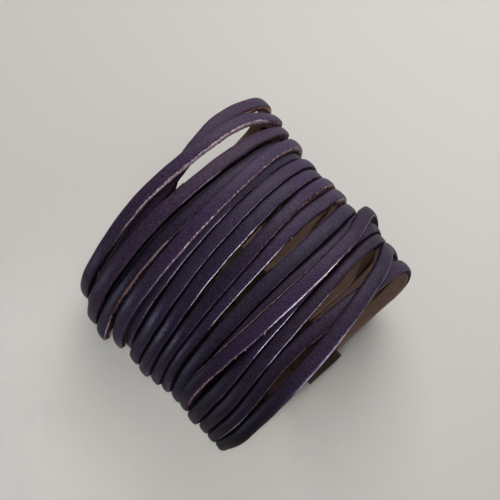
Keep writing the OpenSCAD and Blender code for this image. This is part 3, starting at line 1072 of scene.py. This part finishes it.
def plated_steel():
    """Brushed steel plated in dark bronze, a little tarnished."""
    material, add = new_material("brushed_steel_plated_in_dark_bronze")
    place = add("TexCoord", output="Object")
    lines = add("VectorMath", place, BRUSHED_LINES, operation="MULTIPLY")
    brushed = add("TexNoise", {"Vector": lines, "Scale": 1.0, "Detail": 4.0})
    cloudy = add("TexNoise", {"Vector": place, "Scale": TARNISH, "Detail": 4.0})
    tarnish = add("MapRange", cloudy, 0.35, 0.7, 0.0, 1.0)
    tone = add("Mix", tarnish, "#62584F", "#4B433D", data_type="RGBA")
    thin = add("MapRange", brushed, 0.4, 0.75, 0.0, 0.3)
    tone = add("Mix", thin, tone, "#857A6E", data_type="RGBA")
    look = {"Base Color": tone, "Metallic": 1.0, "Roughness": add("MapRange", brushed, 0.3, 0.7, 0.46, 0.6)}
    look["Normal"] = add("Bump", {"Height": brushed, "Strength": 0.3, "Distance": 0.00002})
    add("OutputMaterial", {"Surface": add("BsdfPrincipled", look)})
    return material


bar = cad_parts["clasp_bar"]
bar.data.materials.clear()
bar.data.materials.append(plated_steel())
bevel = bar.modifiers.new("rounded_corners", "BEVEL")
bevel.width, bevel.segments, bevel.limit_method = 0.0005, 3, "ANGLE"
print("bar:", bar.name, "faces:", len(bar.data.polygons))

# %% [markdown]
# ## Floor, light and camera
# The cuff lies on a plain pale sheet. The light is soft daylight from the upper right of the picture, with a weaker
# window low on the left that draws the sheen on the leather there, and a strip in front that catches the rolled
# edges.

# %% Floor
FLOOR_HALF = 3
corners = [(x * FLOOR_HALF, y * FLOOR_HALF, 0) for x, y in ((-1, -1), (1, -1), (1, 1), (-1, 1))]
floor_mesh = bpy.data.meshes.new("floor")
floor_mesh.from_pydata(corners, [], [(0, 1, 2, 3)])
floor = placed("floor", floor_mesh)
# Card with matt paint on it spreads the light evenly and mirrors next to nothing.
card, add = new_material("matt_painted_card")
add("OutputMaterial", {"Surface": add("BsdfPrincipled", {"Base Color": "#D2D1CF", "Roughness": 0.9})})
floor_mesh.materials.append(card)
print("floor across in m:", 2 * FLOOR_HALF)

# %% Camera
# The cuff's axis runs down to the right in the picture. The camera looks down on the crown and leans a little to
# the front.
AXIS_IN_PICTURE = math.radians(47.5)
LEAN_TO_FRONT = math.radians(7)
DISTANCE = 0.250
PICTURE = 500
PIXELS_PER_METRE = 4300.0
SENSOR = 36
# The pixel on which the middle of the cuff lies.
MIDDLE = (241, 279)
to_camera = np.array([math.sin(LEAN_TO_FRONT), 0, math.cos(LEAN_TO_FRONT)])
along_cuff = np.array([math.cos(LEAN_TO_FRONT), 0, -math.sin(LEAN_TO_FRONT)])
across_cuff = np.cross(to_camera, along_cuff)
picture_right = along_cuff * math.cos(AXIS_IN_PICTURE) + across_cuff * math.sin(AXIS_IN_PICTURE)
picture_down = along_cuff * math.sin(AXIS_IN_PICTURE) - across_cuff * math.cos(AXIS_IN_PICTURE)
aim = np.array([0, 0, AXIS_HEIGHT / 1000])
off_right, off_down = ((pixel - PICTURE / 2) / PIXELS_PER_METRE for pixel in MIDDLE)
stand = aim + to_camera * DISTANCE - picture_right * off_right - picture_down * off_down
camera_data = bpy.data.cameras.new("camera")
camera_data.sensor_width = SENSOR
camera_data.lens = SENSOR * PIXELS_PER_METRE * DISTANCE / PICTURE
camera_data.clip_start, camera_data.clip_end = 0.01, 20
camera = placed("camera", camera_data)
axes = np.stack([picture_right, -picture_down, to_camera, stand], axis=1)
camera.matrix_world = Matrix([list(row) for row in axes] + [[0, 0, 0, 1]])
bpy.context.scene.camera = camera
print("lens in mm:", round(camera_data.lens, 1), "camera at:", [round(float(v), 3) for v in stand])


# %% Lights
def soft_light(name, direction, distance, size, power, colour):
    """A soft oblong light that faces the cuff, with its distance and size in metres and its power in watts."""
    data = bpy.data.lights.new(name, "AREA")
    data.shape = "RECTANGLE"
    data.size, data.size_y = size
    data.energy = power
    data.color = linear(colour)[:3]
    lamp = placed(name, data)
    away = np.array(direction, float)
    away /= np.linalg.norm(away)
    lamp.location = aim + away * distance
    lamp.rotation_mode = "QUATERNION"
    lamp.rotation_quaternion = Vector(away).to_track_quat("Z", "Y")
    return lamp


soft_light("daylight_from_the_top", (-0.5, 0.95, 0.55), 1.5, (1.5, 1.1), 38, "#FFFDF8")
window = soft_light("window_front_side", (1.0, 0.0, 0.3), 0.9, (0.6, 0.07), 6.5, "#EEF0FF")
wall = soft_light("bright_wall_on_the_right", (0.2, 1.0, 0.05), 0.9, (0.6, 0.3), 1.5, "#F2F2FF")
lower_window = soft_light("window_lower_left", (0.6, -0.8, 0.3), 0.9, (0.4, 0.08), 0.9, "#EEF0FF")
# A small window low on the left is only seen as a reflection: it is too far off to light the card.
low_window = soft_light("low_window_left", (-0.41, -0.88, 0.22), 0.323, (0.05, 0.05), 0.5, "#D9DCFF")
low_window.visible_diffuse = False
# The card gets more light back from the room than the leather shows, from two lamps that face straight down.
# name, place, size, power, spread in degrees
card_lamps = []
for name, place, size, power, spread in (
    ("window_wall_on_the_card", (0.0, 0.08, 0.12), 0.1, 0.034, 180),
    ("far_wall_on_the_card", (0.016, -0.042, 0.617), 0.04, 0.009, 11),
):
    lamp = soft_light(name, (0, 0, 1), 1, (size, size), power, "#FFFDF8")
    lamp.location, lamp.data.spread = place, math.radians(spread)
    lamp.visible_camera = False
    card_lamps.append(lamp)
print("lamps:", len(bpy.data.lights))


# %% Which lamps light what
def link_lamps(name, lamps, things, state):
    """Let lamps light only these things, INCLUDE, or everything but them, EXCLUDE."""
    group = bpy.data.collections.new(name)
    for i, thing in enumerate(things):
        group.objects.link(thing)
        group.collection_objects[i].light_linking.link_state = state
    for lamp in lamps:
        lamp.light_linking.receiver_collection = group


link_lamps("card_only", card_lamps, [floor], "INCLUDE")
# On the card the strips and the wall would draw a second shadow, and on the bar a hard white line.
link_lamps("off_card", (window, wall, lower_window), [floor, bar], "EXCLUDE")
print("lamps kept to the card:", len(card_lamps))

# %% The room
world = bpy.data.worlds.new("room")
world.use_nodes = True
world.node_tree.nodes["Background"].inputs["Color"].default_value = linear("#DEDCD9")
world.node_tree.nodes["Background"].inputs["Strength"].default_value = 0.19
bpy.context.scene.world = world
bpy.context.scene.view_settings.view_transform = "Standard"
print("world:", world.name)
